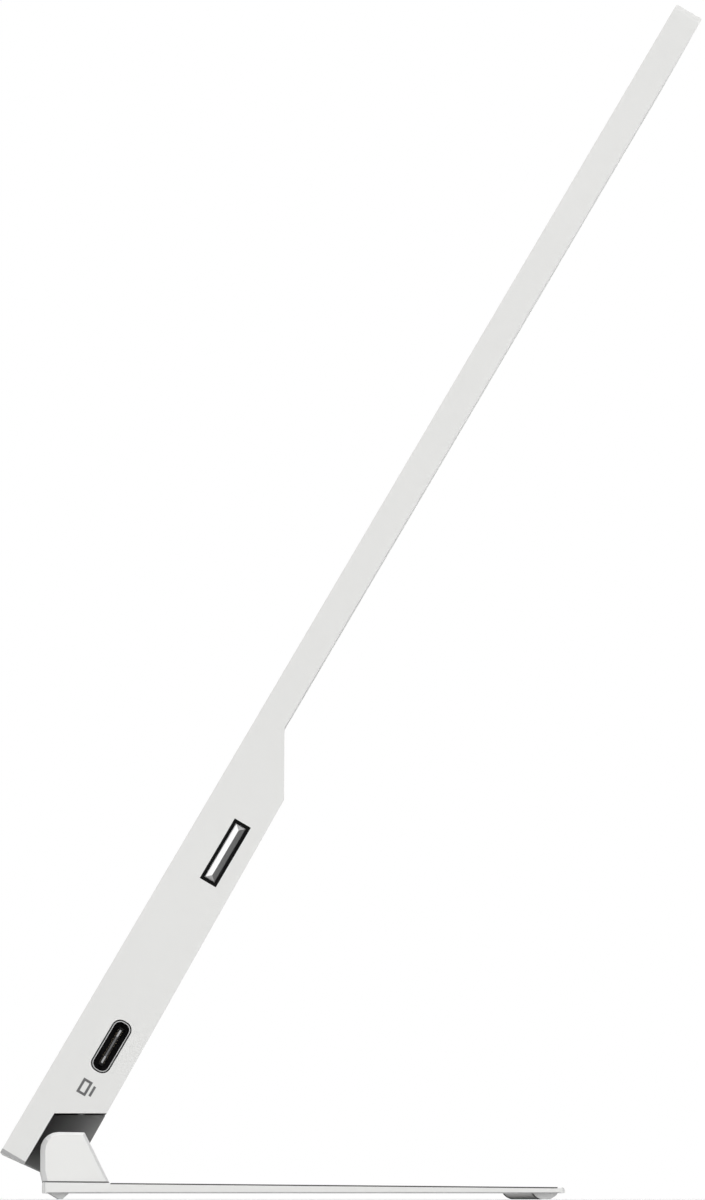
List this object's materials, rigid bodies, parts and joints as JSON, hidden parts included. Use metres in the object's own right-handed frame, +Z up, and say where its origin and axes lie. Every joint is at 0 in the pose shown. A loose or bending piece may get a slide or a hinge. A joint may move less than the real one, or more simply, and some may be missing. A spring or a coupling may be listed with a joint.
{
  "type": "portable monitor",
  "caption": "Slim flat display leaning back on a folding foot plate, with a thicker lower back, side keys and USB-C sockets.",
  "frame": {"origin": "on the table, under the middle of the monitor's box as it stands", "axes": "+X to the viewer's right across the display's width, the screen looks towards -Y, +Z up"},
  "size_m": [0.324, 0.1099, 0.1873],
  "materials": {
    "housing_shell": "fine matt pale grey-white moulding",
    "stand_paint": "pale grey-white matt coat on aluminium",
    "hinge_cover_plastic": "dark grey matt moulding",
    "mat_rubber": "thin grey soft mat",
    "foot_rubber": "pale grey soft rubber",
    "hinge_steel": "bare steel",
    "frame_plastic": "black matt moulding",
    "screen_glass": "dark anti-glare screen surface",
    "sheet_film": "white diffusing film",
    "guide_acrylic": "clear acrylic",
    "led_lamps": "row of small lamps on a strip",
    "tray_aluminium": "bare aluminium sheet",
    "tape_foam": "double-sided foam tape",
    "board_laminate": "green glass-fibre laminate",
    "chip_resin": "black moulding compound",
    "flex_film": "amber polyimide film",
    "shield_tin": "tinned sheet",
    "connector_plastic": "ivory plastic",
    "port_steel": "drawn stainless shell",
    "key_metal": "polished metal cap"
  },
  "bodies": {
    "base": {"base_plate": "stand_paint", "base_mat": "mat_rubber", "hinge_arm_right": "stand_paint", "hinge_arm_left": "stand_paint", "arm_screws": "hinge_steel", "hinge_shaft_right": "hinge_steel", "hinge_shaft_left": "hinge_steel", "friction_washers_right": "hinge_steel", "friction_washers_left": "hinge_steel", "hinge_nut_right": "hinge_steel", "hinge_nut_left": "hinge_steel", "front_foot_strip": "foot_rubber", "rear_foot_strip": "foot_rubber"},
    "display": {"rear_cover": "housing_shell", "hinge_cover": "hinge_cover_plastic", "hinge_bracket_right": "hinge_steel", "hinge_bracket_left": "hinge_steel", "hinge_screws": "hinge_steel", "front_bezel": "frame_plastic", "lcd_cell": "screen_glass", "optical_sheets": "sheet_film", "light_guide": "guide_acrylic", "led_strip": "led_lamps", "panel_tray": "tray_aluminium", "panel_tape": "tape_foam", "chassis_plate": "tray_aluminium", "chassis_screws": "hinge_steel", "timing_board": "board_laminate", "timing_chips": "chip_resin", "panel_flexes": "flex_film", "panel_cable": "flex_film", "main_board": "board_laminate", "port_board": "board_laminate", "board_chips": "chip_resin", "board_shield": "shield_tin", "board_connectors": "connector_plastic", "board_link_cable": "flex_film", "board_screws": "hinge_steel", "usb_c_shell_right": "port_steel", "usb_c_shell_left": "port_steel", "usb_c_tongue_right": "chip_resin", "usb_c_tongue_left": "chip_resin", "key_trim_right": "frame_plastic", "key_trim_left": "frame_plastic", "key_switch_right": "chip_resin", "key_switch_left": "chip_resin"},
    "power_key": {"power_key": "key_metal", "power_key_plunger": "chip_resin"},
    "menu_key": {"menu_key": "key_metal", "menu_key_plunger": "chip_resin"}
  },
  "joints": [
    {"name": "stand_hinge", "type": "hinge", "parent": "base", "child": "display", "pos_m": [0, -0.04522, 0.00617], "axis": [1, 0, 0], "range_deg": [-61, 30.5]},
    {"name": "power_key_press", "type": "slide", "parent": "display", "child": "power_key", "axis": [-1, 0, 0], "range_m": [0, 0.0004], "stiffness_N_per_m": 1500, "springref_m": -0.0004},
    {"name": "menu_key_press", "type": "slide", "parent": "display", "child": "menu_key", "axis": [1, 0, 0], "range_m": [0, 0.0004], "stiffness_N_per_m": 1500, "springref_m": -0.0004}
  ]
}
